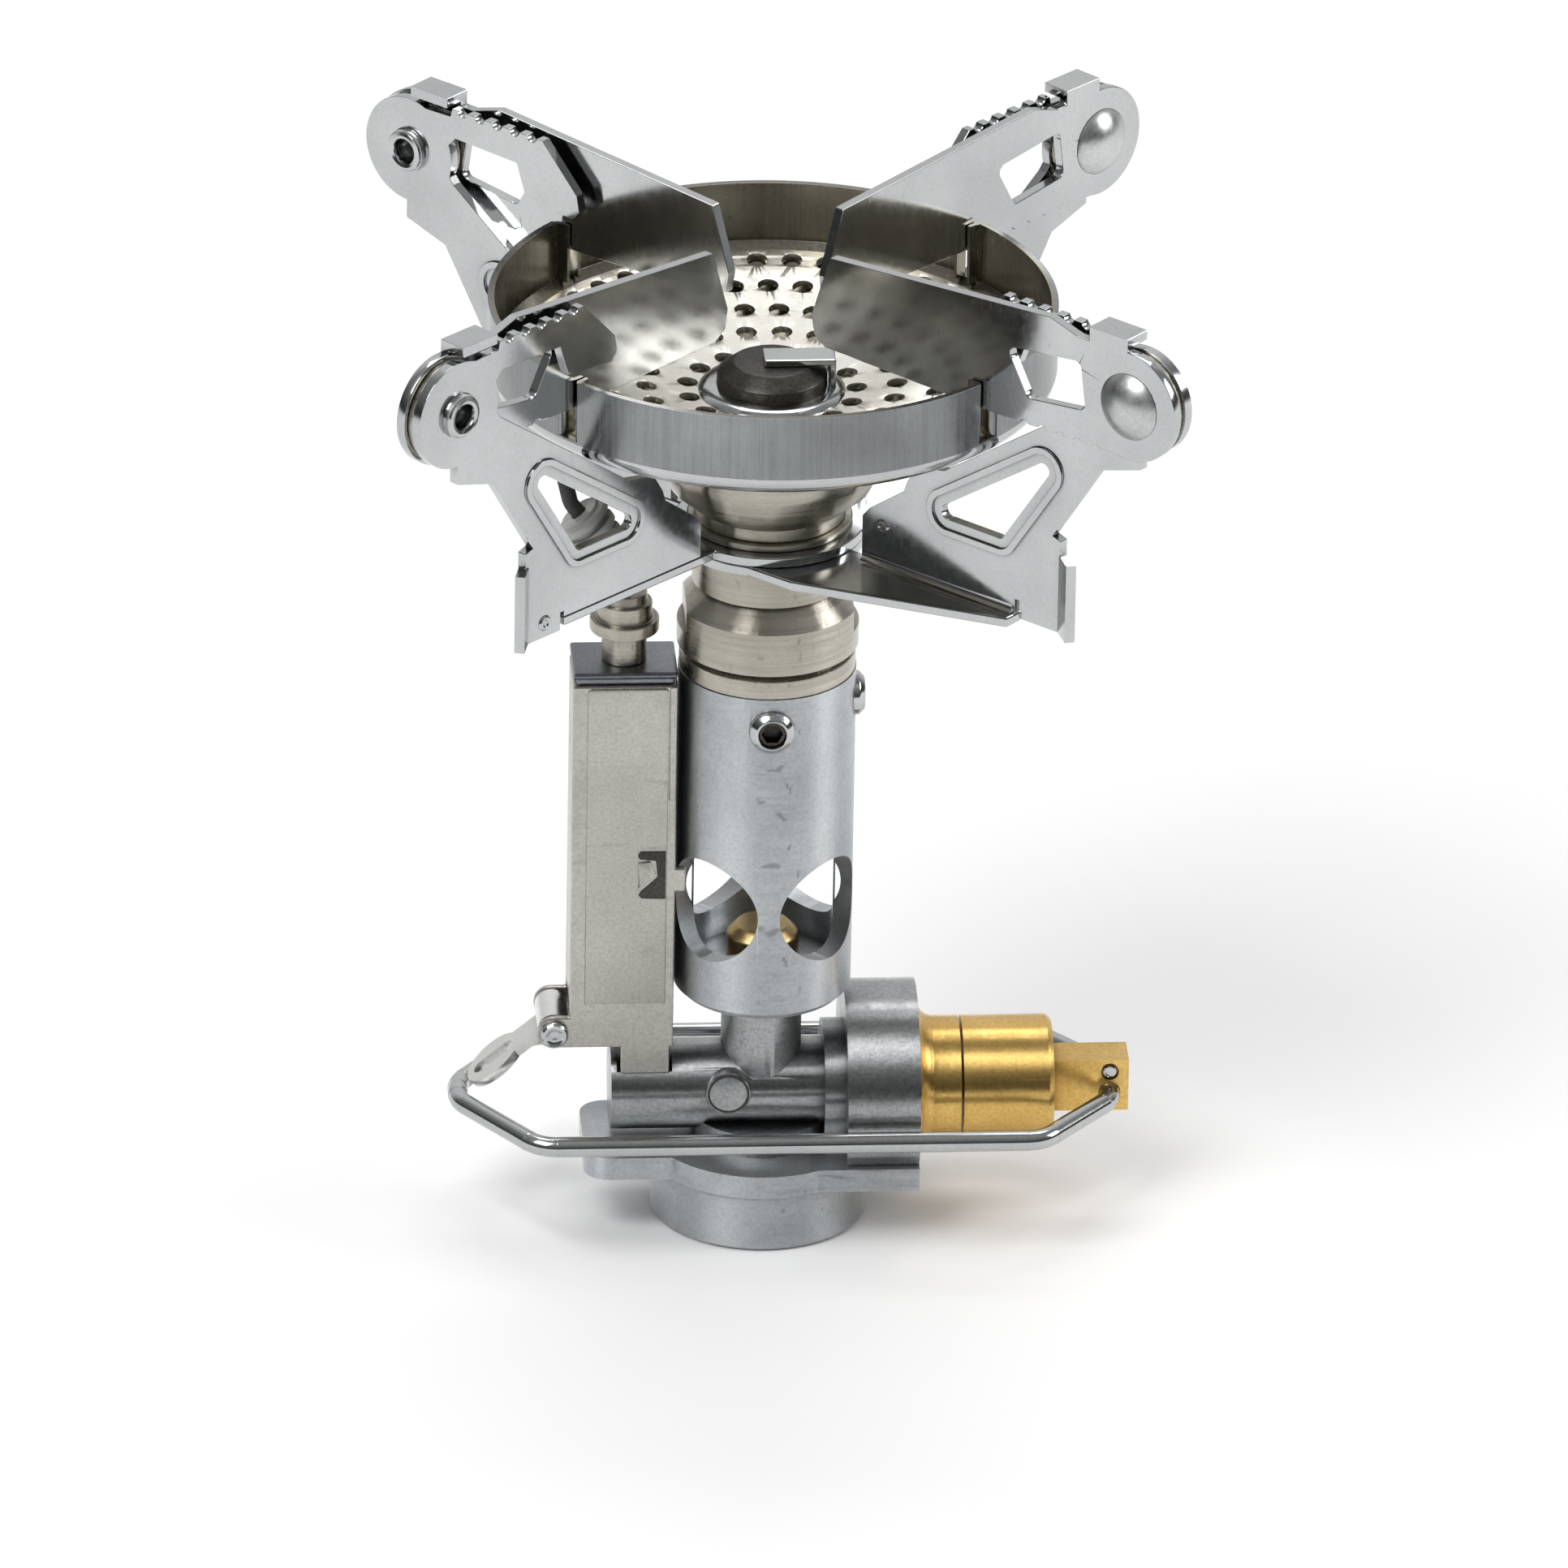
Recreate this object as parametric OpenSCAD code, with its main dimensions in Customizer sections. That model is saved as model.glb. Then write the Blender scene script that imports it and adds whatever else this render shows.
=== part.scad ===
// Portable gas stove: screw-on canister burner with a folding pot stand.
// Millimetres. +Z is up, +X points along the valve spindle to the knob, the origin is the
// centre of the connector's bottom face.

/* [Connector] */
// Outer diameter of the collar that screws onto the canister
collar_d = 25.2; // [23:0.1:28]
// Height of the collar below the grip plate
collar_h = 7; // [6.6:0.1:10]
// Diameter of the canister thread
thread_d = 11.1; // [10:0.1:12]
// Length of the threaded stretch
thread_h = 5; // [4:0.1:5.5]
// Thickness of the grip plate
plate_t = 2.8; // [2:0.1:4]
// Reach of the left wing from the axis
left_wing = 20.6; // [16:0.1:24]
// Width of the left wing
left_wing_w = 15; // [10:0.5:18]
// Width of the right wing
right_wing_w = 22.6; // [18:0.5:24]

/* [Valve] */
// Height of the spindle axis above the bottom face
valve_z = 15.8; // [15.2:0.1:18]
// Diameter of the horizontal valve body
body_d = 10.6; // [9:0.1:11.5]
// Reach of the valve body to the left of the axis
body_left = 17.5; // [15:0.1:19]
// Diameter of the large end collar
flange_d = 23.6; // [20:0.1:25]
// Distance from the axis to the inner face of the end collar
flange_x = 9.5; // [8:0.1:11]
// Width of the end collar
flange_w = 8.4; // [6:0.1:10]
// Diameter of the riser that carries the mixer tube
riser_d = 9.3; // [8:0.1:10]
// Diameter of the spindle
spindle_d = 5; // [4:0.1:5.6]

/* [Knob and handle] */
// Diameter of the knob and the bonnet nut
knob_d = 14.8; // [13:0.1:16]
// Length of the bonnet nut
bonnet_l = 5; // [4:0.1:7]
// Length of the round part of the knob
knob_l = 10.5; // [8:0.1:13]
// Length of the flat tang behind the knob
tang_l = 8.9; // [8:0.1:11]
// Height of the tang
tang_h = 6.4; // [6:0.1:7.5]
// Thickness of the tang
tang_t = 4.8; // [4.2:0.1:6.5]
// Wire diameter of the handle
wire_d = 2.4; // [1.8:0.1:2.8]
// Distance of each handle leg from the middle plane
leg_y = 14.4; // [14.3:0.1:18]
// Reach of the handle's tip to the left of the axis
handle_tip = 36.2; // [35.5:0.1:40]

/* [Mixer tube] */
// Outer diameter of the tube
tube_d = 20.5; // [19:0.1:21]
// Wall of the tube
tube_wall = 2.2; // [1.5:0.1:3]
// Height of the tube's bottom above the bottom face
tube_z = 28.6; // [27.8:0.1:31]
// Length of the tube
tube_l = 41; // [38:0.1:44]
// Diameter of the air holes
air_hole_d = 12.6; // [10:0.1:12.8]
// Height of the air holes' centre above the tube's bottom
air_hole_z = 12.9; // [12:0.1:15]

/* [Burner] */
// Outer diameter of the pan's rim
rim_d = 65; // [60:0.5:70]
// Height of the rim above the bottom face
rim_z = 115.5; // [114.5:0.1:117]
// Height of the pan's upright wall
rim_h = 7.6; // [7:0.1:8]
// Sheet thickness of the pan
pan_t = 0.8; // [0.6:0.1:1]
// Depth of the flame plate's edge below the rim
plate_drop = 7.6; // [7.4:0.1:8]
// Hollow of the flame plate at its centre
plate_sag = 4.1; // [3:0.1:4.5]
// Diameter of the flame holes
flame_hole_d = 2.4; // [1.8:0.1:2.6]
// Diameter of the centre cap
cap_d = 12.6; // [10:0.1:14]
// Width of the slots that the stand arms drop into
slot_w = 3; // [2.8:0.1:4.4]

/* [Pot stand] */
// Angle between each arm and the X axis
stand_angle = 43; // [38:0.5:47]
// Distance of the arm pivots from the axis
pivot_r = 53; // [51:0.1:56]
// Height of the arm pivots above the bottom face
pivot_z = 118.8; // [118.4:0.1:120]
// Sheet thickness of brackets and arms
sheet_t = 1.2; // [0.9:0.1:1.4]
// Thickness of the spacer washers between bracket and arm
spacer_t = 1; // [0.8:0.1:1.4]
// Diameter of the pivot rivets
rivet_d = 4; // [3:0.1:5]
// Radius of the round bracket ends
lug_r = 6.4; // [5.6:0.1:6.8]
// Reach of the folding arms from their pivots
arm_l = 46; // [42:0.1:47]
// Height of the brackets' base plates above the bottom face
base_z = 85.5; // [84.5:0.1:86.5]
// Radius of the base plates round the neck
base_r = 11; // [10:0.1:12]

/* [Igniter] */
// Width of the igniter case
case_w = 12; // [11:0.1:13]
// Depth of the igniter case
case_d = 8.8; // [8:0.1:10]
// Height of the igniter case above the bottom face
case_z = 22.6; // [22:0.1:24]
// Height of the igniter case
case_h = 46.2; // [44:0.1:47.5]
// Sheet thickness of the igniter case
case_t = 0.8; // [0.5:0.1:1]
// Height of the igniter's top cap
case_cap_h = 1.6; // [1.2:0.1:2.4]
// Travel of the piezo plunger
plunger_travel = 2.6; // [1.5:0.1:3]

/* [Fits] */
// Radial clearance of pins and shafts that turn
run_fit = 0.05; // [0.02:0.01:0.1]
// Gap between parts that stand still
seat_gap = 0.02; // [0.01:0.01:0.05]
// Gap between moving parts
move_gap = 0.3; // [0.2:0.05:0.5]

/* [Hidden] */
$fn = 64;
eps = 0.01;

steel = "#c9cacb";
satin = "#b4b8bd";
nickel = "#b9b2a4";
beige = "#b5b1a7";
gold = "#d9a441";
dark = "#4a4844";
brass = "#b08d4a";
black = "#222222";
cream = "#e6e0d2";

// Heights and stations along the axes
plate_top = collar_h + plate_t;
right_wing = flange_x + flange_w;
tube_r = tube_d / 2;
bore_r = tube_r - tube_wall;
tube_top = tube_z + tube_l;
tube_floor = 3;
bonnet_x = right_wing;
knob_x = bonnet_x + bonnet_l + move_gap;
tang_x = knob_x + knob_l;
tang_end = tang_x + tang_l;
hinge_x = tang_end - 2.2;
hinge_z = valve_z - 0.9;
spindle_r = spindle_d / 2;
spindle_in = 4;
body_r = body_d / 2;
notch_z = valve_z + 3.4;

// Canister socket
relief_h = 1;
relief_r = thread_d / 2 + 0.5;
seal_bore_r = 5;
seal_wire = 1.6;
pin_r = 1;
pin_hole_top = collar_h + plate_t;

// Gas jet
jet_r = 4.2;
jet_h = 4.8;
jet_shank_r = 2.4;
jet_shank_l = 7;
jet_bore_r = 0.4;

// Pan and flame plate
rim_r = rim_d / 2;
wall_z = rim_z - rim_h;
floor_r = rim_r - 6;
floor_z = 103.6;
throat_r = 13.5;
throat_z = 101.2;
plate_edge_z = rim_z - plate_drop;
flame_t = 0.8;
pan_slope = (rim_r - floor_r) / (wall_z - floor_z);
cone_t = pan_t * sqrt(1 + pan_slope * pan_slope);
flame_r = rim_r - (wall_z - plate_edge_z + flame_t) * pan_slope - cone_t - 0.1;
dish_r = (flame_r * flame_r + plate_sag * plate_sag) / (2 * plate_sag);
dish_z = plate_edge_z - plate_sag;
flame_rings = 5;
flame_ring_step = 4.6;
flame_hole_pitch = 4;

// Stand: the stack of arm, spacer and bracket is centred on each radial plane
stack_t = 2 * sheet_t + spacer_t;
arm_o = -stack_t / 2;
spacer_o = arm_o + sheet_t;
bracket_o = spacer_o + spacer_t;
neck_r = 7.8;
base_top = base_z + sheet_t;
tab_in = 5.9;
tab_out = 0.4;
tab_under = lug_r + 0.55;
arm_azimuths = [-stand_angle, stand_angle, 180 - stand_angle, 180 + stand_angle];

// Igniter
case_x = -tube_r - 0.2 - case_w;
case_top = case_z + case_h;
lever_x = case_x - 1.7;
lever_z = case_z + 1.9;
lever_pin_r = 1;
ear_r = 2;
plunger_x = case_x + case_w / 2;
plunger_r = 2;
cam_reach = plunger_x - lever_x;

// A ring with a round bore
module ring(r_out, r_in, h) {
  difference() {
    cylinder(r = r_out, h = h);
    translate([0, 0, -eps]) cylinder(r = r_in, h = h + 2 * eps);
  }
}

// Lies along +X, starting at x
module along_x(x, z) {
  translate([x, 0, z]) rotate([0, 90, 0]) children();
}

// An upright sheet in an arm's own frame: the outline's X is the radius and its Y is the height
module upright(o, t) {
  translate([0, o + t, 0]) rotate([90, 0, 0]) linear_extrude(t) children();
}

// A convex outline, listed anticlockwise, grown by r with round corners that stand a hair proud
module rounded(points, r) {
  n = len(points);
  grown = [for (i = [0:n - 1]) for (side = [0, 1])
    let (a = points[i], b = points[(i + 1) % n], d = b - a, u = d / norm(d))
    (side == 0 ? a : b) + r * [u[1], -u[0]]];
  polygon(grown);
  for (p = points) translate(p) circle(r + seat_gap);
}

// A round wire in the XY plane through a list of points, with bends of radius b
module wire(points, r, b) {
  n = len(points);
  span = [for (i = [0:n - 2]) norm(points[i + 1] - points[i])];
  d = [for (i = [0:n - 2]) (points[i + 1] - points[i]) / span[i]];
  turn = [for (i = [0:n - 3]) atan2(cross(d[i], d[i + 1]), d[i] * d[i + 1])];
  cut = concat([0], [for (a = turn) b * tan(abs(a) / 2)], [0]);
  // Straight stretches lap a little over the bends, which are a hair thinner
  lap = 0.1;
  for (i = [0:n - 2]) {
    before = i == 0 ? 0 : cut[i] - lap;
    after = i == n - 2 ? 0 : cut[i + 1] - lap;
    translate(points[i] + d[i] * before) rotate([90, 0, atan2(d[i][1], d[i][0]) + 90])
      cylinder(r = r, h = span[i] - before - after);
  }
  for (i = [0:n - 3]) {
    s = sign(turn[i]);
    inward = s * [-d[i][1], d[i][0]];
    start = atan2(-inward[1], -inward[0]);
    translate(points[i + 1] - d[i] * cut[i + 1] + b * inward) rotate(s > 0 ? start : start + turn[i])
      rotate_extrude(angle = abs(turn[i])) translate([b, 0]) circle(r - seat_gap);
  }
}

// Connector and valve

module grip_plate_outline() {
  corner = 3;
  circle(d = collar_d + 0.6);
  translate([-left_wing + corner, 0]) rounded([[0, -left_wing_w / 2 + corner], [left_wing - corner,
    -left_wing_w / 2 + corner], [left_wing - corner, left_wing_w / 2 - corner],
    [0, left_wing_w / 2 - corner]], corner);
  translate([0, -right_wing_w / 2]) square([right_wing, right_wing_w]);
}

module canister_connector() {
  edge = 0.5;
  color(satin) difference() {
    union() {
      translate([0, 0, edge]) cylinder(d = collar_d, h = collar_h - edge);
      cylinder(d1 = collar_d - 2 * edge, d2 = collar_d, h = edge);
      translate([0, 0, collar_h]) linear_extrude(plate_t) grip_plate_outline();
    }
    translate([0, 0, -eps]) cylinder(d = thread_d, h = thread_h + 2 * eps);
    translate([0, 0, thread_h]) cylinder(r = relief_r, h = relief_h);
    translate([0, 0, thread_h]) cylinder(r = seal_bore_r, h = relief_h + seal_wire);
    cylinder(r = pin_r, h = pin_hole_top + eps);
  }
}

module connector_seal() {
  mid_r = seal_bore_r - seal_wire / 2 - seat_gap;
  color(black) translate([0, 0, thread_h + relief_h + seal_wire / 2])
    rotate_extrude() translate([mid_r, 0]) circle(d = seal_wire - 2 * seat_gap);
}

module valve_pin() {
  tip_z = thread_h + 0.6;
  head_r = 1.8;
  head_h = 1;
  color(brass) {
    translate([0, 0, tip_z]) cylinder(r = pin_r - seat_gap, h = pin_hole_top - tip_z - seat_gap);
    translate([0, 0, thread_h + relief_h + seal_wire - head_h - seat_gap]) cylinder(r = head_r, h = head_h);
  }
}

module valve_body() {
  foot_r = 8;
  step_d = body_d + 4;
  step_w = 2.4;
  gas_r = 1.2;
  seat_r = 0.9;
  groove_w = 6.4;
  groove_x = case_x + 5.6;
  color(satin) difference() {
    union() {
      along_x(-body_left, valve_z) cylinder(d = body_d, h = body_left + flange_x);
      along_x(flange_x - step_w, valve_z) cylinder(d = step_d, h = step_w + eps);
      along_x(flange_x, valve_z) cylinder(d = flange_d, h = flange_w);
      translate([0, 0, valve_z]) cylinder(d = riser_d, h = tube_z - valve_z);
      translate([0, 0, plate_top]) cylinder(r = foot_r, h = valve_z - body_r * 0.6 - plate_top);
    }
    // Flat underside that sits on the grip plate
    translate([-left_wing, -flange_d, plate_top - flange_d]) cube([left_wing * 2, 2 * flange_d, flange_d]);
    // Gas way: in from the canister, through the seat, up the riser
    translate([0, 0, plate_top - eps]) cylinder(r = gas_r, h = valve_z - plate_top);
    translate([0, 0, valve_z]) cylinder(r = gas_r, h = tube_z - valve_z + eps);
    along_x(-seat_r, valve_z) cylinder(r = seat_r, h = spindle_in + 2 * seat_r);
    along_x(spindle_in, valve_z) cylinder(r = spindle_r + run_fit, h = right_wing - spindle_in + eps);
    translate([0, 0, tube_z - jet_shank_l]) cylinder(r = jet_shank_r + seat_gap, h = jet_shank_l + eps);
    plug_seat(plug_r + seat_gap);
    // Notch for the igniter's tongue
    translate([groove_x, -body_d, notch_z]) cube([groove_w, body_d - 2.2, body_d]);
  }
}

plug_x = -4;
plug_lift = 1.1;
plug_r = 2.6;
plug_depth = 2.2;
module plug_seat(r) {
  translate([plug_x, -body_r - 0.2, valve_z + plug_lift]) rotate([-90, 0, 0]) cylinder(r = r, h = plug_depth);
}

module passage_plug() {
  color(satin) plug_seat(plug_r);
}

module gas_jet() {
  taper = 1.2;
  seat = tube_z + tube_floor;
  shank_z = tube_z - jet_shank_l;
  color(brass) difference() {
    union() {
      translate([0, 0, seat]) cylinder(r = jet_r, h = jet_h - taper);
      translate([0, 0, seat + jet_h - taper]) cylinder(r1 = jet_r, r2 = jet_r - taper, h = taper);
      translate([0, 0, shank_z + seat_gap]) cylinder(r = jet_shank_r, h = seat - shank_z);
    }
    translate([0, 0, shank_z]) cylinder(r = jet_bore_r, h = seat - shank_z + jet_h + eps);
  }
}

// Mixer tube and burner neck

// Three grub screws, with none on the igniter's side
screw_angles = [-90, 0, 90];
screw_z = tube_top - 4;
screw_r = 2.6;
screw_bite = 1.3;
neck_spigot = 13;
neck_bore = 5.6;
ring_h = 2.3;

module at_screws() {
  for (a = screw_angles) rotate(a) children();
}

module mixer_tube() {
  foot_edge = 0.8;
  color(satin) difference() {
    union() {
      translate([0, 0, tube_z]) cylinder(r1 = tube_r - foot_edge, r2 = tube_r, h = foot_edge);
      translate([0, 0, tube_z + foot_edge]) cylinder(r = tube_r, h = tube_l - foot_edge);
    }
    translate([0, 0, tube_z + tube_floor]) cylinder(r = bore_r, h = tube_l);
    translate([0, 0, tube_z - eps]) cylinder(r = jet_shank_r + seat_gap, h = tube_floor + 2 * eps);
    for (i = [0:3]) rotate(45 + 90 * i) along_x(bore_r - tube_wall, tube_z + air_hole_z)
      cylinder(d = air_hole_d, h = tube_r);
    at_screws() along_x(bore_r - screw_bite, screw_z) cylinder(r = screw_r + seat_gap, h = tube_r);
  }
}

module grub_screws() {
  socket_r = 1.6;
  proud = 1;
  rim_edge = 0.7;
  color(dark) at_screws() along_x(bore_r - screw_bite + seat_gap, screw_z) difference() {
    union() {
      cylinder(r = screw_r, h = tube_wall + screw_bite + proud - rim_edge);
      translate([0, 0, tube_wall + screw_bite + proud - rim_edge])
        cylinder(r1 = screw_r, r2 = screw_r - rim_edge, h = rim_edge);
    }
    translate([0, 0, screw_bite]) cylinder(r = socket_r, h = tube_wall + proud + eps);
  }
}

module clamp_ring() {
  color(nickel) translate([0, 0, tube_top]) ring(tube_r - 0.1, neck_r + seat_gap, ring_h);
}

nut_z = tube_top + ring_h + 0.8;
nut_h = 5.2;
nut_r = 10.45;
nut_chamfer = 2.65;
neck_top = base_top + 5.6;

module burner_neck() {
  flat_d = 19.2;
  shoulder_z = nut_z + nut_h + nut_chamfer;
  color(nickel) difference() {
    union() {
      translate([0, 0, tube_top - neck_spigot]) cylinder(r = bore_r - seat_gap, h = neck_spigot);
      translate([0, 0, tube_top - eps]) cylinder(r = neck_r, h = neck_top - tube_top);
      translate([0, 0, tube_top + ring_h]) cylinder(r = nut_r - 1.2, h = nut_z - tube_top - ring_h + eps);
      intersection() {
        translate([0, 0, nut_z]) union() {
          cylinder(r = nut_r, h = nut_h);
          translate([0, 0, nut_h]) cylinder(r1 = nut_r, r2 = neck_r, h = nut_chamfer);
        }
        // Wrench flats on the upper half of the nut
        union() {
          translate([0, 0, nut_z]) cylinder(r = nut_r + 1, h = nut_h / 2);
          translate([-flat_d / 2, -nut_r - 1, nut_z]) cube([flat_d, 2 * nut_r + 2, nut_h + nut_chamfer]);
        }
      }
      translate([0, 0, shoulder_z]) cylinder(r = neck_r + 1, h = base_z - shoulder_z);
    }
    translate([0, 0, tube_top - neck_spigot - eps]) cylinder(r = neck_bore, h = neck_top);
    at_screws() along_x(bore_r - screw_bite, screw_z) cylinder(r = screw_r + seat_gap, h = screw_bite + 1);
  }
}

// Pot stand

module in_arm(i) {
  rotate(arm_azimuths[i]) children();
}

// Upright of a bracket, as seen along the arm: pivot lug, serrated hook bar, strut and foot
bar_top = 7;
tooth_pitch = 2.6;
tooth_r = 0.75;
teeth = 5;
foot_in = 39.8;
foot_out = 17.4;
slit_x = 16.8;
stop_x = 11;
foot_drop = 32.4;
window = [[-27.4, -22.4], [-20, -22.4], [-13.8, -13]];
window_round = 0.9;
border_w = 1.5;
border_h = 0.3;

module bracket_outline(lift) {
  fold = base_z + lift + sheet_t - pivot_z;
  difference() {
    union() {
      circle(lug_r);
      polygon([[0, lug_r - 0.6], [-tab_in - 0.35, lug_r - 0.4], [-tab_in - 0.6, bar_top], [-20, bar_top],
        [-25.2, 1.6], [-25.6, -0.4], [-24.6, -1.5], [-17.6, -0.8], [-16.2, 3.1], [-7, 3.4], [-5.9, 2.2],
        [-5.9, -1.4], [-6.8, -2.5], [-28, -17.4], [-32, -18.2], [-33.4, -20.4], [-33.9, -21.8],
        [-38.8, -25.4], [-foot_in, -26.6], [-foot_in, fold], [-foot_out, fold], [-foot_out, -30.2],
        [-slit_x, -30.2], [-slit_x, -foot_drop], [-stop_x, -foot_drop], [-stop_x, -21], [-12.2, -20.6],
        [-5.6, -10.4], [0.2, -8.6], [0.2, 0]]);
    }
    for (i = [0:teeth - 1]) translate([-tab_in - 2.1 - i * tooth_pitch, bar_top + 0.1]) circle(tooth_r);
    rounded(window, window_round);
  }
}

module bracket_upright(i) {
  lift = bracket_lift(i);
  strip_l = 3;
  strip_h = 9.6;
  bend = 35;
  color(steel) in_arm(i) {
    translate([pivot_r, 0, pivot_z]) {
      upright(bracket_o, sheet_t) difference() {
        bracket_outline(lift);
        circle(rivet_d / 2 + seat_gap);
      }
      upright(bracket_o - border_h, sheet_t + 2 * border_h) difference() {
        rounded(window, window_round + border_w + 0.5);
        rounded(window, window_round + border_w - 0.3);
      }
    }
    // Stop strip bent from the outer edge of the foot, towards the front of each pair
    translate([pivot_r - stop_x - 0.2, bracket_o, pivot_z - foot_drop]) rotate(i % 2 == 0 ? -bend : bend)
      cube([strip_l, sheet_t, strip_h]);
  }
}

// Half of a base plate: a wing that tapers outwards on the clockwise side of its upright
module wing_outline() {
  reach = pivot_r - foot_out;
  polygon([[0, bracket_o + sheet_t], [reach, bracket_o + sheet_t], [reach, bracket_o - 1.4],
    [base_r, -base_r + 1.4], [0, -base_r + 1]]);
}

// The second bracket's base plate lies on the first one's
function bracket_lift(i) = (i % 2) * (sheet_t + seat_gap);

module base_plate(first) {
  color(steel) translate([0, 0, base_z + bracket_lift(first)]) difference() {
    union() {
      cylinder(r = base_r, h = sheet_t);
      for (i = [first, first + 2]) in_arm(i) linear_extrude(sheet_t) wing_outline();
    }
    translate([0, 0, -eps]) cylinder(r = neck_r + seat_gap, h = sheet_t + 2 * eps);
  }
}

module lower_bracket() base_plate(0);
module upper_bracket() base_plate(1);
module upright_front_right() bracket_upright(0);
module upright_back_right() bracket_upright(1);
module upright_back_left() bracket_upright(2);
module upright_front_left() bracket_upright(3);

rings_z = base_top + sheet_t + 2 * seat_gap;
washer_h = 0.8;
retainer_h = 1.6;

module bracket_washer() {
  color(nickel) translate([0, 0, rings_z]) ring(neck_r + 1.7, neck_r + seat_gap, washer_h);
}

module retaining_ring() {
  color(nickel) translate([0, 0, rings_z + washer_h + seat_gap])
    ring(neck_r + 0.9, neck_r + seat_gap, retainer_h);
}

// Folding arm: long plate with a stop tab over the bracket, a window and a serrated lower edge
arm_low = 6.7;
arm_window = [[-16.2, 1.4], [-14, -2.4], [-7.2, -1.6], [-7.8, 2.4]];

module arm_outline() {
  tab_top = tab_under + sheet_t;
  difference() {
    union() {
      circle(lug_r + 0.2);
      polygon([[0, 0], [-tab_out, tab_under - 1], [-tab_out, tab_top], [-tab_in, tab_top],
        [-tab_in, lug_r], [-7.6, lug_r], [-11.6, 7.6], [-arm_l + 2.6, 5.2], [-arm_l, -2.5],
        [-arm_l + 0.4, -5], [-arm_l + 2, -6.1], [-19, -arm_low], [-1, -arm_low + 0.3]]);
    }
    rounded(arm_window, 0.9);
    for (i = [0:teeth - 1]) translate([-4.6 - i * tooth_pitch, -arm_low - 0.2]) circle(tooth_r);
    circle(rivet_d / 2 + run_fit);
  }
}

module stand_arm(i) {
  color(steel) in_arm(i) translate([pivot_r, 0, pivot_z]) {
    upright(arm_o, sheet_t) arm_outline();
    translate([-tab_in, arm_o, tab_under]) cube([tab_in - tab_out, stack_t + 0.2, sheet_t]);
  }
}

module arm_front_right() stand_arm(0);
module arm_back_right() stand_arm(1);
module arm_back_left() stand_arm(2);
module arm_front_left() stand_arm(3);

module arm_rivets() {
  head_r = 4;
  head_h = 1.7;
  flare_r = 2.6;
  flare_h = 0.7;
  hollow_r = 1.5;
  dome_r = (head_r * head_r + head_h * head_h) / (2 * head_h);
  head_o = arm_o - run_fit;
  end_o = bracket_o + sheet_t;
  color(steel) for (i = [0:3]) in_arm(i) translate([pivot_r, 0, pivot_z]) rotate([-90, 0, 0]) difference() {
    union() {
      translate([0, 0, head_o - eps]) cylinder(d = rivet_d, h = end_o - head_o + flare_h);
      translate([0, 0, end_o]) cylinder(r = flare_r, h = flare_h);
      intersection() {
        translate([0, 0, head_o - head_h + dome_r]) sphere(dome_r);
        translate([0, 0, head_o - head_h]) cylinder(r = head_r, h = head_h);
      }
    }
    translate([0, 0, end_o - 2]) cylinder(r = hollow_r, h = 3);
  }
}

module arm_spacers() {
  color(nickel) for (i = [0:3]) in_arm(i) translate([pivot_r, 0, pivot_z]) rotate([-90, 0, 0])
    translate([0, 0, spacer_o + run_fit]) ring(lug_r - 0.3, rivet_d / 2 + seat_gap, spacer_t - run_fit);
}

// Burner head

cup_z = rings_z + washer_h + retainer_h + 2 * seat_gap;
cup_lip = throat_z + pan_t;

module burner_cup() {
  foot_r = neck_r + 1.2;
  shoulder_r = 11.7;
  socket_r = neck_r + seat_gap;
  socket_z = neck_top + seat_gap;
  color(nickel) rotate_extrude() polygon([[socket_r, cup_z], [foot_r, cup_z], [shoulder_r, cup_z + 2.4],
    [throat_r, cup_z + 6], [throat_r, cup_lip], [throat_r - 1, cup_lip], [throat_r - 1, cup_z + 6.3],
    [neck_bore, socket_z], [socket_r, socket_z]]);
}

module burner_pan() {
  slot_o = arm_o + sheet_t / 2;
  throat = throat_r + seat_gap;
  color(steel) difference() {
    rotate_extrude($fn = 128) polygon([[throat, throat_z], [floor_r, floor_z], [rim_r, wall_z],
      [rim_r, rim_z], [rim_r - pan_t, rim_z], [rim_r - pan_t, wall_z + (cone_t - pan_t) / pan_slope],
      [floor_r + pan_t * pan_slope - cone_t, floor_z + pan_t], [throat, throat_z + pan_t]]);
    for (i = [0:3]) in_arm(i) translate([floor_r, slot_o - slot_w / 2, wall_z + 0.3])
      cube([rim_r - floor_r + 2, slot_w, rim_h]);
  }
}

stem_r = 1.9;
cap_seat = dish_z + (cap_d / 2) * (cap_d / 2) / (2 * dish_r) + 0.1;
cap_h = 3.6;

module flame_plate() {
  centre_z = dish_z + dish_r;
  below = 3;
  color(steel) intersection() {
    difference() {
      translate([0, 0, centre_z]) sphere(dish_r + flame_t);
      translate([0, 0, centre_z]) sphere(dish_r);
    }
    translate([0, 0, dish_z - below]) linear_extrude(plate_sag + below) difference() {
      circle(flame_r);
      circle(stem_r + seat_gap);
      for (k = [0:flame_rings - 1]) {
        ring_r = flame_r - 1.8 - k * flame_ring_step;
        count = round(2 * PI * ring_r / flame_hole_pitch);
        for (i = [0:count - 1]) rotate(i * 360 / count) translate([ring_r, 0])
          circle(d = flame_hole_d, $fn = 24);
      }
    }
  }
}

module centre_cap() {
  cone_h = 1.4;
  color(dark) {
    translate([0, 0, cap_seat]) cylinder(d = cap_d, h = cap_h - cone_h);
    translate([0, 0, cap_seat + cap_h - cone_h]) cylinder(d1 = cap_d, d2 = cap_d - 3.7, h = cone_h);
    translate([0, 0, dish_z - flame_t - 1]) cylinder(r = stem_r, h = cap_seat - dish_z + flame_t + 1 + eps);
  }
}

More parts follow.
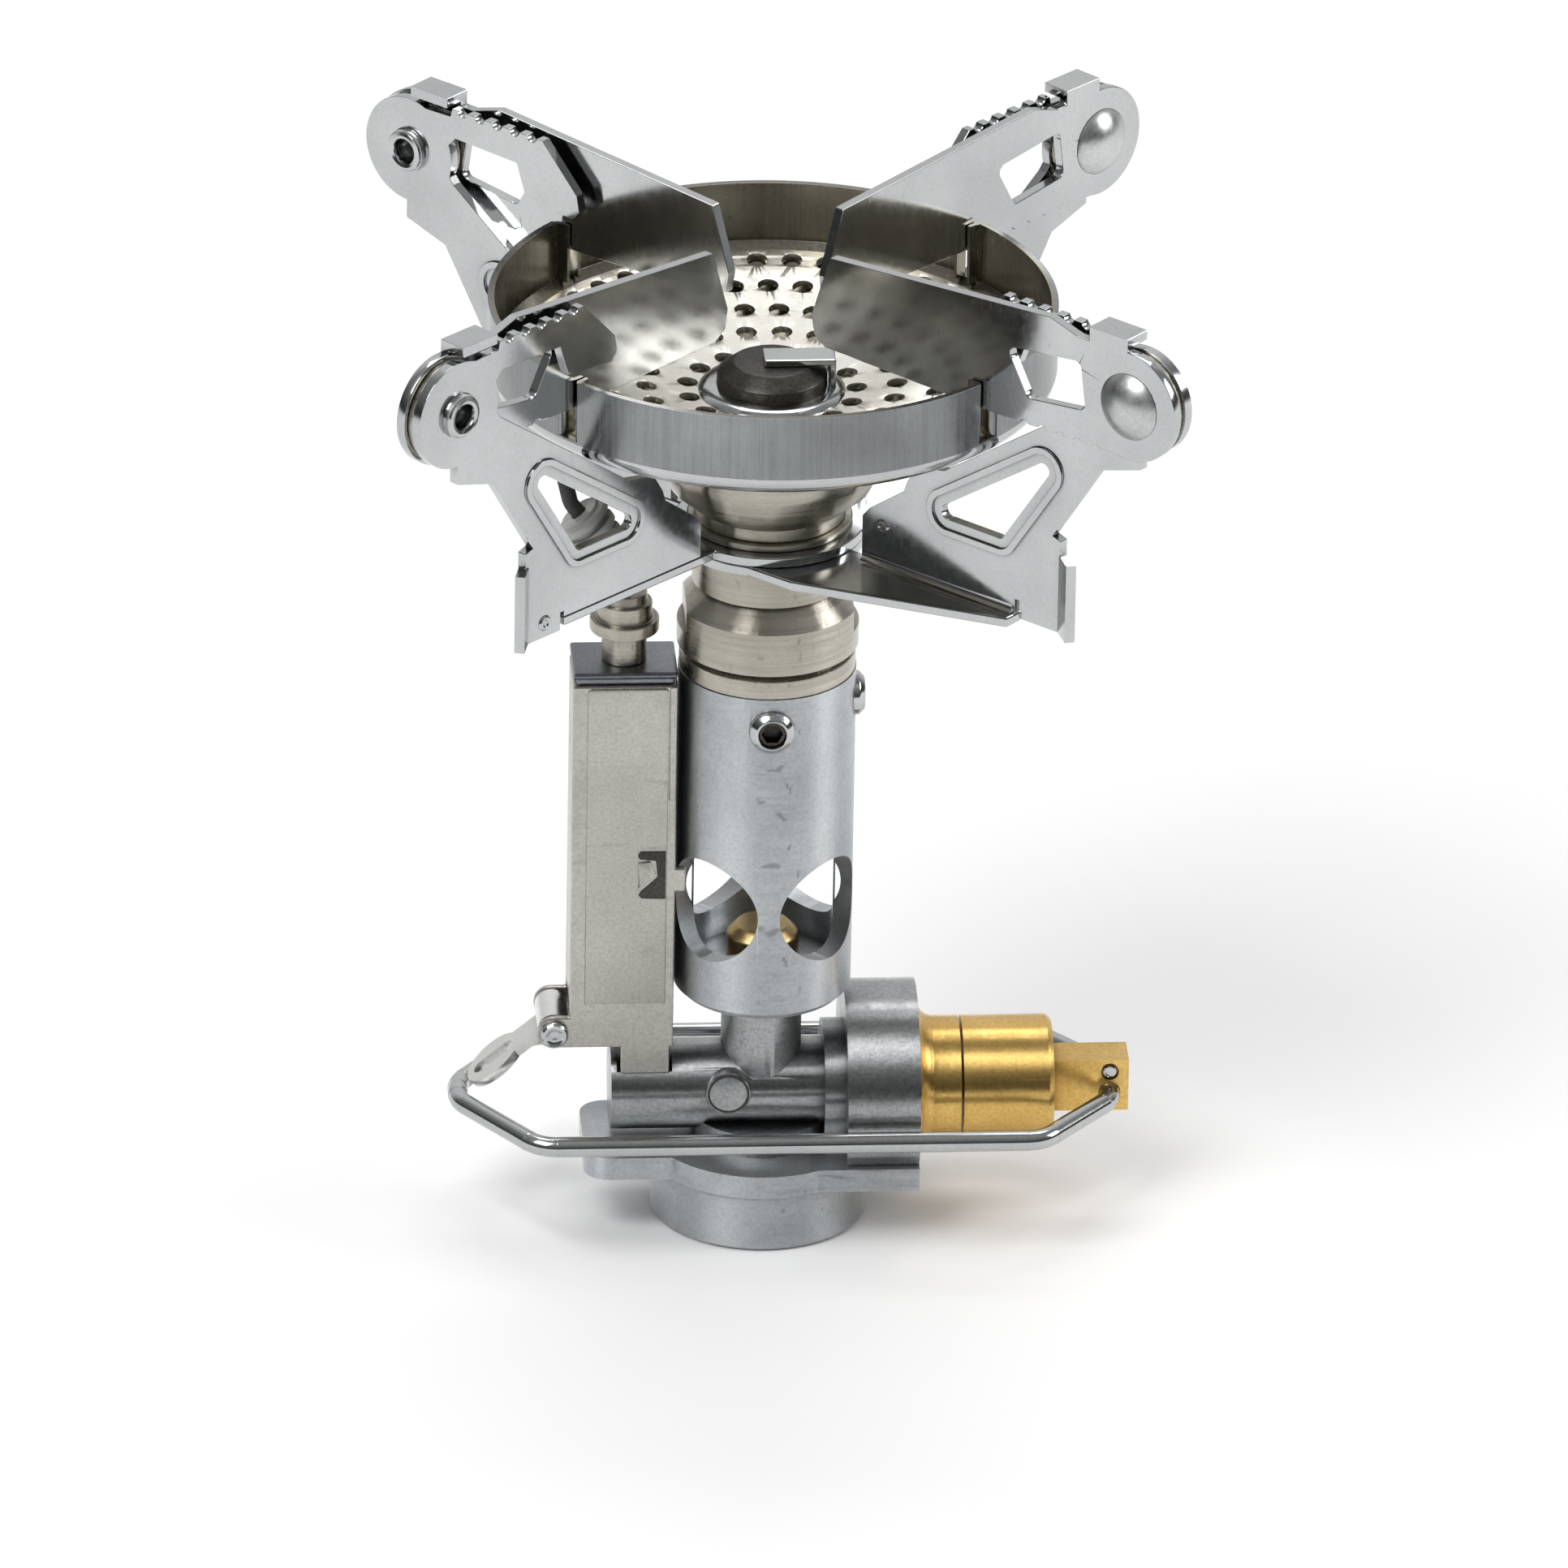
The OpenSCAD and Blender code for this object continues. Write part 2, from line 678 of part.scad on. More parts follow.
module spark_electrode() {
  strip_w = 3.6;
  strip_t = 0.8;
  strip_x = cap_d / 2 + strip_t + 0.1;
  top = cap_seat + cap_h + seat_gap;
  foot = dish_z + strip_x * strip_x / (2 * dish_r) + 0.15;
  color(steel) {
    translate([-1, -strip_w / 2, top]) cube([strip_x + 1, strip_w, strip_t]);
    translate([strip_x - strip_t, -strip_w / 2, foot]) cube([strip_t, strip_w, top - foot + eps]);
  }
}

// Igniter

module igniter_case() {
  inner_w = case_w - 2 * case_t;
  mouth_h = 5.6;
  tongue_x = case_x + 6;
  tongue_w = 5.6;
  tongue_foot = notch_z + seat_gap;
  hook_z = tube_z + air_hole_z + 1;
  color(beige) difference() {
    union() {
      difference() {
        translate([case_x, -case_d / 2, case_z]) cube([case_w, case_d, case_h]);
        translate([case_x + case_t, case_t - case_d / 2, case_z - 1])
          cube([inner_w, case_d - 2 * case_t, case_h + 2]);
        translate([case_x - 1, case_t - case_d / 2, case_z - 1]) cube([3, case_d - 2 * case_t, mouth_h + 1]);
      }
      for (y = [-case_d / 2, case_d / 2 - case_t]) translate([lever_x, y, lever_z]) {
        rotate([-90, 0, 0]) cylinder(r = ear_r, h = case_t);
        translate([0, 0, case_z - lever_z])
          cube([case_x - lever_x + case_t, case_t, lever_z + ear_r - case_z]);
      }
      translate([tongue_x, -case_d / 2, tongue_foot]) cube([tongue_w, case_t, case_z - tongue_foot + case_t]);
      translate([case_x + case_w - case_t, -case_d / 2, hook_z]) cube([case_t + 1.2, case_t, 3]);
    }
    translate([lever_x, -case_d, lever_z]) rotate([-90, 0, 0])
      cylinder(r = lever_pin_r + seat_gap, h = 2 * case_d);
  }
}

module igniter_cap() {
  plug_t = case_t + 0.1;
  groove = 0.4;
  groove_h = 0.6 * case_cap_h;
  color(dark) {
    translate([case_x, -case_d / 2, case_top + seat_gap + groove_h])
      cube([case_w, case_d, case_cap_h - groove_h]);
    translate([case_x + groove, groove - case_d / 2, case_top + seat_gap])
      cube([case_w - 2 * groove, case_d - 2 * groove, groove_h + eps]);
    translate([case_x + plug_t, plug_t - case_d / 2, case_top - cap_plug])
      cube([case_w - 2 * plug_t, case_d - 2 * plug_t, cap_plug + 2 * seat_gap]);
  }
}

cam_t = 1.6;
piezo_lift = 12;
plunger_hold = 8;
cap_plug = 2;
piezo_z = case_z + piezo_lift;
plunger_z = lever_z + cam_t / 2 + move_gap;
plunger_l = piezo_z - plunger_z + plunger_hold;

module piezo_unit() {
  side = case_t + 0.3;
  color(black) difference() {
    translate([case_x + side, side - case_d / 2, piezo_z])
      cube([case_w - 2 * side, case_d - 2 * side, case_top - cap_plug - 0.1 - piezo_z]);
    translate([plunger_x, 0, piezo_z - eps])
      cylinder(r = plunger_r + run_fit, h = plunger_z + plunger_l + plunger_travel + 1 - piezo_z);
  }
}

module piezo_plunger() {
  color(cream) translate([plunger_x, 0, plunger_z]) cylinder(r = plunger_r, h = plunger_l);
}

lever_angle = 220;
tab_t = 1;
tab_reach = 8.5;
tab_r = 3.8;

module igniter_lever() {
  hub_r = 1.9;
  hub_w = case_d - 2 * case_t - 2 * move_gap;
  neck_w = 4.6;
  slot_l = 3.4;
  slot_r = 1.1;
  color(cream) translate([lever_x, 0, lever_z]) difference() {
    union() {
      translate([0, -hub_w / 2, 0]) rotate([-90, 0, 0]) cylinder(r = hub_r, h = hub_w);
      rotate([0, -lever_angle, 0]) translate([0, 0, -tab_t / 2]) linear_extrude(tab_t) difference() {
        union() {
          translate([0, -neck_w / 2]) square([tab_reach, neck_w]);
          translate([tab_reach, 0]) circle(tab_r);
        }
        translate([tab_reach - slot_l / 2, 0])
          rounded([[0, -eps], [slot_l, -eps], [slot_l, eps], [0, eps]], slot_r);
      }
      translate([0, -plunger_r, -cam_t / 2]) cube([cam_reach + 0.2, 2 * plunger_r, cam_t]);
    }
    translate([0, -case_d, 0]) rotate([-90, 0, 0]) cylinder(r = lever_pin_r + run_fit, h = 2 * case_d);
  }
}

module lever_rivet() {
  head_r = 1.6;
  head_h = 0.6;
  color(steel) translate([lever_x, 0, lever_z]) rotate([-90, 0, 0]) {
    translate([0, 0, -case_d / 2 - head_h]) cylinder(r = lever_pin_r, h = case_d + 2 * head_h);
    for (y = [-case_d / 2 - head_h, case_d / 2]) translate([0, 0, y]) cylinder(r = head_r, h = head_h);
  }
}

// Ignition lead from the igniter's cap to the underside of the pan

bush_z = case_top + case_cap_h + 2 * seat_gap;
bush_r = 2.6;
bush_h = 8.6;
bush_bore = 1.6;
bush_top = bush_z + bush_h;
lead_r = 0.9;
lead_bend = 2.5;
lead_x = -floor_r + 2.9;
lead_points = [[plunger_x, bush_top - 1 + seat_gap], [plunger_x - 0.5, bush_top + 3.4],
  [lead_x + 0.8, bush_top + 11], [lead_x, bush_top + 14.4], [lead_x, floor_z - 0.9]];

module lead_bush() {
  flange_r = bush_r + 1.4;
  collar_r = bush_r + 0.6;
  color(nickel) translate([plunger_x, 0, bush_z]) difference() {
    union() {
      cylinder(r = bush_r, h = bush_h - eps);
      translate([0, 0, 0.44 * bush_h]) cylinder(r = flange_r, h = 0.18 * bush_h);
      translate([0, 0, 0.62 * bush_h]) cylinder(r = collar_r, h = 0.24 * bush_h);
    }
    translate([0, 0, bush_h - 1]) cylinder(r = bush_bore, h = 2);
  }
}

module ignition_lead() {
  color(black) rotate([90, 0, 0]) wire(lead_points, lead_r, lead_bend);
}

module lead_insulator() {
  a = lead_points[1];
  d = lead_points[2] - a;
  ribs = 4;
  rib_pitch = 1.7;
  color(cream) translate([a[0], 0, a[1]]) rotate([0, atan2(d[0], d[1]), 0]) translate([0, 0, 1.3])
    difference() {
      union() {
        cylinder(r1 = 1.9, r2 = 2.5, h = ribs * rib_pitch);
        for (i = [0:ribs - 1]) translate([0, 0, 0.3 + i * rib_pitch]) cylinder(r = 2.5 + 0.25 * i, h = 0.9);
      }
      translate([0, 0, -eps]) cylinder(r = lead_r + seat_gap, h = ribs * rib_pitch + 2 * eps);
    }
}

// Bonnet, knob and handle

module bonnet_nut() {
  flare = 1.8;
  knob_r = knob_d / 2;
  color(gold) along_x(bonnet_x, valve_z) rotate_extrude() difference() {
    translate([spindle_r + run_fit, 0]) union() {
      square([knob_r - spindle_r - run_fit, bonnet_l]);
      square([knob_r + flare - spindle_r - run_fit, flare]);
    }
    translate([knob_r + flare, flare + 0.3]) circle(flare);
  }
}

spindle_grip = 6;
wire_r = wire_d / 2;
tang_pin_r = 0.8;
tang_pin_z = valve_z + 1.75;

module across_tang(z, r, half) {
  translate([hinge_x, -half, z]) rotate([-90, 0, 0]) cylinder(r = r, h = 2 * half);
}

module control_knob() {
  edge = 0.6;
  sink = 0.5;
  color(gold) difference() {
    union() {
      along_x(knob_x, valve_z) cylinder(d = knob_d, h = knob_l - edge);
      along_x(tang_x - edge, valve_z) cylinder(d1 = knob_d, d2 = knob_d - 2 * edge, h = edge);
      translate([tang_x - edge, -tang_t / 2, valve_z - tang_h / 2]) cube([tang_l + edge, tang_t, tang_h]);
    }
    along_x(knob_x - eps, valve_z) cylinder(r = spindle_r + seat_gap, h = spindle_grip);
    across_tang(hinge_z, wire_r + run_fit, tang_t);
    across_tang(tang_pin_z, tang_pin_r + seat_gap, tang_t);
    for (side = [-1, 1]) translate([0, side * tang_t / 2, 0]) across_tang(tang_pin_z, tang_pin_r + 0.25, sink);
  }
}

seal_groove_r = 1.6;
seal_groove_w = 1;
seal_x = bonnet_x - 4;

module valve_spindle() {
  tip = 1.6;
  end_x = knob_x + spindle_grip - 2 * seat_gap;
  color(brass) difference() {
    union() {
      along_x(spindle_in + tip, valve_z) cylinder(r = spindle_r, h = end_x - spindle_in - tip);
      along_x(spindle_in + 0.1, valve_z) cylinder(r1 = 0.4, r2 = spindle_r, h = tip - 0.1);
    }
    along_x(seal_x, valve_z) ring(spindle_r + 1, seal_groove_r, seal_groove_w);
  }
}

module spindle_seal() {
  seal_d = spindle_r - seal_groove_r - 2 * seat_gap;
  color(black) along_x(seal_x + seal_groove_w / 2, valve_z)
    rotate_extrude() translate([seal_groove_r + seal_d / 2 + seat_gap, 0]) circle(d = seal_d);
}

// One leg of the handle, on the side of the sign given: from the tang round to the tip
handle_bend = 4;
function leg(side) = [[hinge_x, side * 0.6], [hinge_x, side * (tang_t / 2 + 1.8)],
  [hinge_x - 8.6, side * leg_y], [-handle_tip + 10, side * leg_y], [-handle_tip + wire_r, side * 2.2]];

module wire_handle() {
  near = leg(-1);
  far = leg(1);
  loop = concat(near, [for (i = [len(far) - 1:-1:0]) far[i]]);
  color(steel) translate([0, 0, hinge_z]) wire(loop, wire_r, handle_bend);
}

module tang_pin() {
  color(steel) across_tang(tang_pin_z, tang_pin_r, tang_t / 2);
}

canister_connector();
connector_seal();
valve_pin();
valve_body();
passage_plug();
gas_jet();
mixer_tube();
grub_screws();
clamp_ring();
burner_neck();
lower_bracket();
upper_bracket();
upright_front_right();
upright_back_right();
upright_back_left();
upright_front_left();
bracket_washer();
retaining_ring();
burner_cup();
burner_pan();
flame_plate();
centre_cap();
spark_electrode();
arm_front_right();
arm_back_right();
arm_back_left();
arm_front_left();
arm_rivets();
arm_spacers();
igniter_case();
igniter_cap();
piezo_unit();
piezo_plunger();
igniter_lever();
lever_rivet();
lead_bush();
ignition_lead();
lead_insulator();
bonnet_nut();
control_knob();
valve_spindle();
spindle_seal();
wire_handle();
tang_pin();
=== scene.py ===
"""Portable gas stove: looks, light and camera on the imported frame."""
import math

import bmesh
import bpy
from mathutils import Matrix, Vector


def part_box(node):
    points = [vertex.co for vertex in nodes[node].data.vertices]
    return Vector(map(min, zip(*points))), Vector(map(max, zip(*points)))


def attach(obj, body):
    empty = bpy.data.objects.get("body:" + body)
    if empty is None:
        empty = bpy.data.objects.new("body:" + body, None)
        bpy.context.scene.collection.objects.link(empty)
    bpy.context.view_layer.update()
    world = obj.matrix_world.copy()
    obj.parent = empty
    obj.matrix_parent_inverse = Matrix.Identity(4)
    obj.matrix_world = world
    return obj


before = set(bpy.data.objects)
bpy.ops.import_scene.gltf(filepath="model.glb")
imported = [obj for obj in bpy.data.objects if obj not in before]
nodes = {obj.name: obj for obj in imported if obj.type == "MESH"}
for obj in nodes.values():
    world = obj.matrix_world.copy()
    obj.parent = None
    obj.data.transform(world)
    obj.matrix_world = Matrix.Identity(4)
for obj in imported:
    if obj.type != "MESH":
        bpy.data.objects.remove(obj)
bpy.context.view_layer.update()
MM = 0.001

# Photograph: camera angles in degrees, its distance, and the pixels of the stove's axis
IMAGE = 1932
CAMERA_AZIMUTH = -4.0
CAMERA_ELEVATION = 26.0
CAMERA_ROLL = 1.0
CAMERA_DISTANCE = 2.5
SENSOR = 36.0
PIXEL = 0.0933 * MM
BASE_PIXEL = Vector((933.5, 1487.0))
RIM_PIXEL = Vector((953.0, 374.0))

# The pan's radius and the height of its rim
pan_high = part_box("burner_pan")[1]
PAN_R = pan_high[0]
RIM_HEIGHT = pan_high[2]

# The stand's four corners: the azimuth of each arm and the base plate under it
STAND_ANGLE = math.radians(43)
AZIMUTHS = {
    "front_right": -STAND_ANGLE,
    "back_right": STAND_ANGLE,
    "back_left": math.pi - STAND_ANGLE,
    "front_left": math.pi + STAND_ANGLE,
}
BASE_PLATES = {
    "front_right": "lower_bracket",
    "back_right": "upper_bracket",
    "back_left": "lower_bracket",
    "front_left": "upper_bracket",
}
ARMS = ["arm_" + corner for corner in AZIMUTHS]
UPRIGHTS = ["upright_" + corner for corner in AZIMUTHS]


# Node helpers for the finishes

def new_material(name):
    """A material, its node tree and its Principled shader."""
    material = bpy.data.materials.new(name)
    material.use_nodes = True
    tree = material.node_tree
    return material, tree, tree.nodes["Principled BSDF"]


def add(tree, kind, **values):
    """A new node whose input sockets or settings take the given values."""
    node = tree.nodes.new(kind)
    for key, value in values.items():
        socket = node.inputs.get(key.replace("_", " "))
        if socket is not None:
            socket.default_value = value
        else:
            setattr(node, key, value)
    return node


def object_point(tree, scale, degrees=(0.0, 0.0, 0.0)):
    """Object coordinates stretched by scale, in cycles per metre, and turned by degrees."""
    point = tree.nodes.new("ShaderNodeTexCoord")
    angles = [math.radians(angle) for angle in degrees]
    mapping = add(tree, "ShaderNodeMapping", Scale=scale, Rotation=angles)
    tree.links.new(point.outputs["Object"], mapping.inputs["Vector"])
    return mapping.outputs["Vector"]


def noise(tree, vector, detail=3.0):
    """Cloudy noise, about 0.5 on average."""
    node = add(tree, "ShaderNodeTexNoise", Scale=1.0, Detail=detail, Roughness=0.55)
    tree.links.new(vector, node.inputs["Vector"])
    return node.outputs["Fac"]


def spread(tree, value, low, high, out_low, out_high):
    """value between low and high is spread over out_low to out_high, and held beyond them."""
    node = add(tree, "ShaderNodeMapRange", From_Min=low, From_Max=high, To_Min=out_low, To_Max=out_high)
    tree.links.new(value, node.inputs["Value"])
    return node.outputs["Result"]


def blend_colours(tree, factor, first, second):
    """first where factor is 0 and second where it is 1, each a colour or an output."""
    node = tree.nodes.new("ShaderNodeMix")
    node.data_type = "RGBA"
    for socket, colour in ((node.inputs[6], first), (node.inputs[7], second)):
        if isinstance(colour, tuple):
            socket.default_value = colour + (1.0,)
        else:
            tree.links.new(colour, socket)
    tree.links.new(factor, node.inputs["Factor"])
    return node.outputs[2]


def combine(tree, operation, first, second):
    """The product or the sum of two outputs."""
    node = add(tree, "ShaderNodeMath", operation=operation)
    tree.links.new(first, node.inputs[0])
    tree.links.new(second, node.inputs[1])
    return node.outputs[0]


# Reach of the painted shade in each piece's own corners and grooves
PAINTED_SHADE_REACH = 1.6 * MM


def painted_corner_shade(tree):
    """Painted shade: 1 on open faces, falling towards 0 in a piece's own corners and grooves, where the
    colour is darkened to stand in for shade.
    """
    node = add(tree, "ShaderNodeAmbientOcclusion", Distance=PAINTED_SHADE_REACH, samples=6, only_local=True)
    return spread(tree, node.outputs["AO"], 0.35, 0.95, 0.0, 1.0)


RELIEF_DEPTH = 0.1 * MM


def add_relief(tree, shader, height, strength):
    """Bump on the shader from an output that gives the height."""
    relief = add(tree, "ShaderNodeBump", Strength=strength, Distance=RELIEF_DEPTH)
    tree.links.new(height, relief.inputs["Height"])
    tree.links.new(relief.outputs["Normal"], shader.inputs["Normal"])


# Patterns of bare metal in cycles per metre, and the turn of the scratches in degrees
SMUDGES = (60.0, 60.0, 60.0)
SPECKS = (2600.0, 2600.0, 2600.0)
EVEN_GRAIN = (900.0, 900.0, 900.0)
SCRATCHES = (160.0, 5200.0, 700.0)
SCRATCH_TURN = (20.0, 35.0, 50.0)

# Lathe axes, tilted a little so that flat ends have a grain direction too
ABOUT_Z = (0.06, 0.04, 1.0)
ABOUT_X = (1.0, 0.04, 0.06)
GROOVE_SMEAR = 0.9
INSIDE_BLUR = 0.1 * MM


def metal(name, colour, tint, rough, grain=EVEN_GRAIN, bump=0.04, speckle=0.12, shade_and_fleck_level=0.45,
          lines=0.0, inside=None, turned_about=None):
    """A bare metal: slow smudges, fine speckle, grain along one way, hairline scratches, and painted
    shade that darkens the colour in corners. lines is how much the grain darkens the colour, inside a
    radius from Z and the colour in it, turned_about the axis along which a lathe's fine grooves smear
    the reflections."""
    material, tree, shader = new_material(name)
    shader.inputs["Metallic"].default_value = 1.0
    if turned_about:
        shader.inputs["Anisotropic"].default_value = GROOVE_SMEAR
        axis = add(tree, "ShaderNodeCombineXYZ", **dict(zip("XYZ", turned_about)))
        tree.links.new(axis.outputs[0], shader.inputs["Tangent"])
    smudge = noise(tree, object_point(tree, SMUDGES), detail=5.0)
    specks = noise(tree, object_point(tree, SPECKS), detail=2.0)
    grain_value = noise(tree, object_point(tree, grain), detail=4.0)
    scratch = noise(tree, object_point(tree, SCRATCHES, SCRATCH_TURN), detail=1.0)

    tinted = blend_colours(tree, spread(tree, smudge, 0.35, 0.7, 0.0, 1.0), colour, tint)
    if inside:
        radius, inner_colour = inside
        span = add(tree, "ShaderNodeVectorMath", operation="LENGTH")
        tree.links.new(object_point(tree, (1, 1, 0)), span.inputs[0])
        outer = spread(tree, span.outputs["Value"], radius - INSIDE_BLUR, radius + INSIDE_BLUR, 0.0, 1.0)
        tinted = blend_colours(tree, outer, inner_colour, tinted)
    # The colour falls towards the dark colour as painted shade in corners and grooves, and also on
    # darker specks and along grain lines
    dark = tuple(shade_and_fleck_level * channel for channel in tint)
    bright = spread(tree, specks, 0.3, 0.62, 1.0 - 2 * speckle, 1.0)
    unshaded_and_unflecked = combine(tree, "MULTIPLY", painted_corner_shade(tree), bright)
    unshaded_and_unflecked = combine(tree, "MULTIPLY", unshaded_and_unflecked, spread(tree, grain_value, 0.35, 0.6, 1.0 - lines, 1.0))
    tree.links.new(blend_colours(tree, unshaded_and_unflecked, dark, tinted), shader.inputs["Base Color"])

    wear = combine(tree, "ADD", spread(tree, smudge, 0.3, 0.75, 0.8 * rough, 1.15 * rough),
                   spread(tree, grain_value, 0.3, 0.7, -0.12 * rough, 0.2 * rough))
    wear = combine(tree, "ADD", wear, spread(tree, scratch, 0.66, 0.74, 0.0, 0.5 * rough))
    tree.links.new(wear, shader.inputs["Roughness"])
    add_relief(tree, shader, combine(tree, "ADD", grain_value, specks), bump)
    return material


# Patterns of rubber, plastic and ceramic, in cycles per metre
MOTTLE = (120.0, 120.0, 120.0)
FINE_SKIN = (1680.0, 1680.0, 1680.0)


def dull(name, colour, tint, rough, bump=0.1):
    """A rubber, plastic or ceramic: mottled colour and a fine uneven skin."""
    material, tree, shader = new_material(name)
    mottle = noise(tree, object_point(tree, MOTTLE), detail=4.0)
    tinted = blend_colours(tree, spread(tree, mottle, 0.35, 0.65, 0.0, 1.0), colour, tint)
    tree.links.new(tinted, shader.inputs["Base Color"])
    wear = spread(tree, mottle, 0.3, 0.7, 0.85 * rough, 1.15 * rough)
    tree.links.new(wear, shader.inputs["Roughness"])
    add_relief(tree, shader, noise(tree, object_point(tree, FINE_SKIN)), bump)
    return material


# Finishes, each with its two colours and its roughness
polished = metal("polished_stainless", (0.54, 0.55, 0.555), (0.44, 0.45, 0.455), 0.14,
                 bump=0.004, speckle=0.05, shade_and_fleck_level=0.3)
rivet_steel = metal("satin_rivet_steel", (0.60, 0.61, 0.61), (0.50, 0.51, 0.51), 0.34,
                    speckle=0.08, shade_and_fleck_level=0.2)
lever_steel = metal("bright_lever_steel", (0.80, 0.80, 0.78), (0.70, 0.70, 0.68), 0.3, speckle=0.05)
PAN_INSIDE = PAN_R - 0.4 * MM
pan_steel = metal("spun_pan_steel", (0.29, 0.305, 0.31), (0.20, 0.21, 0.21), 0.24,
                  grain=(2600, 2600, 60), bump=0.06, speckle=0.05, lines=0.25,
                  inside=(PAN_INSIDE, (0.27, 0.25, 0.20)))
plate_steel = metal("flame_plate_steel", (0.93, 0.91, 0.85), (0.86, 0.83, 0.74), 0.3,
                    bump=0.01, speckle=0.02, shade_and_fleck_level=0.7)
turned = metal("satin_aluminium", (0.60, 0.625, 0.645), (0.50, 0.525, 0.545), 0.4,
               grain=(150, 150, 3200), bump=0.06, lines=0.1, turned_about=ABOUT_Z)
cast = metal("cast_aluminium", (0.42, 0.43, 0.435), (0.31, 0.32, 0.325), 0.36,
             bump=0.1, speckle=0.2, turned_about=ABOUT_X)
nickel = metal("bright_nickel", (0.56, 0.535, 0.47), (0.42, 0.395, 0.335), 0.28,
               grain=(60, 60, 2200), bump=0.12, speckle=0.06, lines=0.35, turned_about=ABOUT_Z)
case_steel = metal("blasted_case_steel", (0.52, 0.51, 0.47), (0.45, 0.44, 0.40), 0.34,
                   bump=0.18, speckle=0.16)
cap_steel = metal("smoky_cap_steel", (0.27, 0.28, 0.31), (0.20, 0.21, 0.23), 0.32, speckle=0.18)
gold = metal("gold_anodised_aluminium", (0.80, 0.54, 0.18), (0.60, 0.37, 0.10), 0.36,
             grain=(3200, 150, 150), bump=0.06, speckle=0.14, turned_about=ABOUT_X)
brass = metal("brass", (0.46, 0.34, 0.16), (0.36, 0.25, 0.11), 0.32)
# Near-black steel: the centre cap's own finish and the passage plug's dark seam, and painted shade in
# the grub screw sockets and the case clip's notch
blackened_and_shade = metal("blackened_steel", (0.10, 0.095, 0.085), (0.055, 0.05, 0.045), 0.42, speckle=0.25)
rubber = dull("black_rubber", (0.02, 0.02, 0.02), (0.035, 0.034, 0.033), 0.6)
plastic = dull("grey_plastic", (0.09, 0.09, 0.10), (0.12, 0.12, 0.12), 0.5)
ceramic = dull("glazed_ceramic", (0.42, 0.42, 0.40), (0.30, 0.30, 0.29), 0.14, bump=0.03)

FINISHES = {
    polished: ["lower_bracket", "upper_bracket", *UPRIGHTS, *ARMS, "wire_handle", "tang_pin",
               "lever_rivet", "spark_electrode", "grub_screws"],
    rivet_steel: ["arm_rivets"],
    lever_steel: ["igniter_lever"],
    pan_steel: ["burner_pan"],
    plate_steel: ["flame_plate"],
    turned: ["mixer_tube", "canister_connector"],
    cast: ["valve_body", "passage_plug"],
    nickel: ["burner_neck", "clamp_ring", "bracket_washer", "retaining_ring", "burner_cup",
             "arm_spacers", "lead_bush"],
    case_steel: ["igniter_case"],
    cap_steel: ["igniter_cap"],
    gold: ["bonnet_nut", "control_knob"],
    brass: ["gas_jet", "valve_pin", "valve_spindle"],
    blackened_and_shade: ["centre_cap"],
    rubber: ["connector_seal", "spindle_seal", "ignition_lead"],
    plastic: ["piezo_unit", "piezo_plunger"],
    ceramic: ["lead_insulator"],
}


# Edge rounding of the CAD nodes: most of them, and those that differ
EDGE_ROUND = 0.2 * MM
OTHER_ROUND = {"flame_plate": 0.06 * MM, "igniter_cap": 0.3 * MM, **dict.fromkeys(ARMS, 0.38 * MM)}
WELD_REACH = 0.002 * MM
FLAT_ANGLE = math.radians(0.2)
SHARP_ANGLE = math.radians(35)
# Starts of the names of nodes whose holes would close if their flat triangles were joined
KEPT_TRIANGLES = ("arm_", "canister_connector")


def soften_edges(node, width):
    """Joins a CAD node's loose triangles and rounds its sharp edges, with modifiers alone."""
    weld = node.modifiers.new("join", "WELD")
    weld.merge_threshold = WELD_REACH
    if not node.name.startswith(KEPT_TRIANGLES):
        flats = node.modifiers.new("flats", "DECIMATE")
        flats.decimate_type = "DISSOLVE"
        flats.angle_limit = FLAT_ANGLE
    bevel = node.modifiers.new("edges", "BEVEL")
    bevel.width = width
    bevel.segments = 2
    bevel.limit_method = "ANGLE"
    bevel.angle_limit = SHARP_ANGLE
    normals = node.modifiers.new("normals", "WEIGHTED_NORMAL")
    normals.keep_sharp = True


for material, names in FINISHES.items():
    for name in names:
        nodes[name].data.materials.clear()
        nodes[name].data.materials.append(material)
        soften_edges(nodes[name], OTHER_ROUND.get(name, EDGE_ROUND))


# Fine pieces that the solids carry


def finished(name, shape, material):
    """Turns a shape into a piece that rides on the stove, smooth but for its sharp edges."""
    bmesh.ops.recalc_face_normals(shape, faces=shape.faces)
    mesh = bpy.data.meshes.new(name)
    shape.to_mesh(mesh)
    shape.free()
    mesh.materials.append(material)
    for polygon in mesh.polygons:
        polygon.use_smooth = True
    mesh.set_sharp_from_angle(angle=SHARP_ANGLE)
    piece = bpy.data.objects.new(name, mesh)
    bpy.context.collection.objects.link(piece)
    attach(piece, "stove")


def turn(degrees, axis):
    return Matrix.Rotation(math.radians(degrees), 4, axis)


def corner_turn(corner):
    """The turn from the X axis to a corner of the stand."""
    return Matrix.Rotation(AZIMUTHS[corner], 4, "Z")


def move(x, y, z):
    return Matrix.Translation((x, y, z))


def place(shape, matrix):
    bmesh.ops.transform(shape, matrix=matrix, verts=shape.verts)


def middle(low, high):
    """The middle of a box."""
    return [(a + b) / 2 for a, b in zip(low, high)]


def verts_of(geometry):
    return [item for item in geometry if isinstance(item, bmesh.types.BMVert)]


def profile(shape, points, closed=False):
    """A chain of edges in the XZ plane through the points, which are in millimetres."""
    verts = [shape.verts.new((x * MM, 0.0, z * MM)) for x, z in points]
    ends = verts[1:] + verts[:1] if closed else verts[1:]
    return verts + [shape.edges.new(pair) for pair in zip(verts, ends)]


